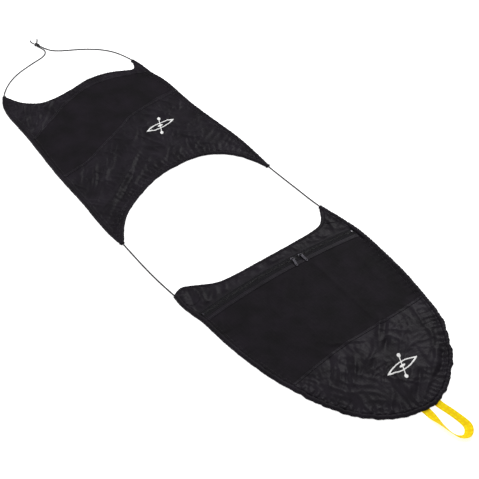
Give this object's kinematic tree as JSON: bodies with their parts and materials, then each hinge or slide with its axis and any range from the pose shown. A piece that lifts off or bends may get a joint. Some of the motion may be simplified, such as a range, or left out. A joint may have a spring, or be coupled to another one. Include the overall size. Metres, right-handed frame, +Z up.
{
  "type": "kayak spray skirt",
  "caption": "Flat fabric splash deck for a tandem kayak cockpit: zipped front deck with grab loop, and a rear deck, joined by elastic cords round a waist opening.",
  "frame": {"origin": "on the floor under the middle of the fabric and its grab loop, without the free cords", "axes": "+X towards the boat's bow, +Y to port, +Z up"},
  "size_m": [2.3333, 0.638, 0.0224],
  "materials": {
    "coated_nylon": "semi-gloss polyurethane coated nylon",
    "plain_nylon": "matt plain-weave nylon",
    "hem_nylon": "rolled and stitched nylon",
    "shock_cord": "braided sleeve over rubber strands",
    "zip_tape": "woven polyester tape",
    "zip_coil": "moulded nylon coil",
    "zip_metal": "black lacquered die-cast zinc",
    "print_ink": "screen-printed ink",
    "webbing": "woven polypropylene webbing"
  },
  "bodies": {
    "front_deck": {"front_rim_hem": "hem_nylon", "front_rim_cord": "shock_cord", "front_waist_hem": "hem_nylon", "waist_band": "coated_nylon", "zip_facing": "coated_nylon", "front_main_panel": "plain_nylon", "nose_panel": "coated_nylon", "zip_tape_rear": "zip_tape", "zip_tape_front": "zip_tape", "zip_coil_rear": "zip_coil", "zip_coil_front": "zip_coil", "zip_stop_left": "zip_metal", "zip_stop_right": "zip_metal", "corner_patch_left": "coated_nylon", "corner_patch_right": "coated_nylon", "front_print": "print_ink", "grab_loop_root": "webbing"},
    "grab_loop": {"grab_loop": "webbing"},
    "slider_left": {"slider_left": "zip_metal"},
    "slider_right": {"slider_right": "zip_metal"},
    "pull_left": {"pull_left": "zip_metal"},
    "pull_right": {"pull_right": "zip_metal"},
    "side_cords": {"side_cord_left": "shock_cord", "side_cord_right": "shock_cord"},
    "rear_deck": {"side_hem_left": "hem_nylon", "side_hem_right": "hem_nylon", "side_hem_cord_left": "shock_cord", "side_hem_cord_right": "shock_cord", "rear_waist_hem": "hem_nylon", "rear_waist_elastic": "shock_cord", "rear_edge_hem": "hem_nylon", "rear_band": "coated_nylon", "rear_main_panel": "plain_nylon", "rear_front_panel": "coated_nylon", "rear_patch_front_left": "coated_nylon", "rear_patch_front_right": "coated_nylon", "rear_patch_back_left": "coated_nylon", "rear_patch_back_right": "coated_nylon", "rear_print": "print_ink"},
    "rear_loop": {"rear_cord_left": "shock_cord", "rear_cord_right": "shock_cord", "rear_knot": "shock_cord", "knot_tail_left": "shock_cord", "knot_tail_right": "shock_cord"}
  },
  "joints": [
    {"name": "slider_left_travel", "type": "hinge", "parent": "front_deck", "child": "slider_left", "pos_m": [2.524, -0.04, 0.0032], "axis": [0, 0, -1], "range_deg": [0, 4.53]},
    {"name": "pull_left_flip", "type": "hinge", "parent": "slider_left", "child": "pull_left", "pos_m": [0.22808, 0.097, 0.0087], "axis": [-0.0596, -0.9982, 0], "range_deg": [0, 180]},
    {"name": "slider_right_travel", "type": "hinge", "parent": "front_deck", "child": "slider_right", "pos_m": [2.524, -0.04, 0.0032], "axis": [0, 0, 1], "range_deg": [0, 8.61]},
    {"name": "pull_right_flip", "type": "hinge", "parent": "slider_right", "child": "pull_right", "pos_m": [0.22649, 0.067, 0.0087], "axis": [-0.0465, -0.9989, 0], "range_deg": [0, 180]},
    {"name": "grab_loop_flip", "type": "hinge", "parent": "front_deck", "child": "grab_loop", "pos_m": [0.911, -0.002, 0.0013], "axis": [0, -1, 0], "range_deg": [0, 120]},
    {"name": "deck_fold", "type": "hinge", "parent": "front_deck", "child": "side_cords", "pos_m": [0.1, 0.292, 0.0045], "axis": [-0.0447, 0.999, 0], "range_deg": [0, 150]},
    {"name": "cord_stretch", "type": "slide", "parent": "side_cords", "child": "rear_deck", "axis": [-1, 0, 0], "range_m": [0, 0.12], "stiffness_N_per_m": 600, "deforming": ["side_cord_left", "side_cord_right"]},
    {"name": "rear_loop_fold", "type": "hinge", "parent": "rear_deck", "child": "rear_loop", "pos_m": [-0.938, 0.278, 0.0045], "axis": [0.2104, 0.9776, 0], "range_deg": [0, 150], "deforming": ["rear_cord_left", "rear_cord_right"]}
  ]
}
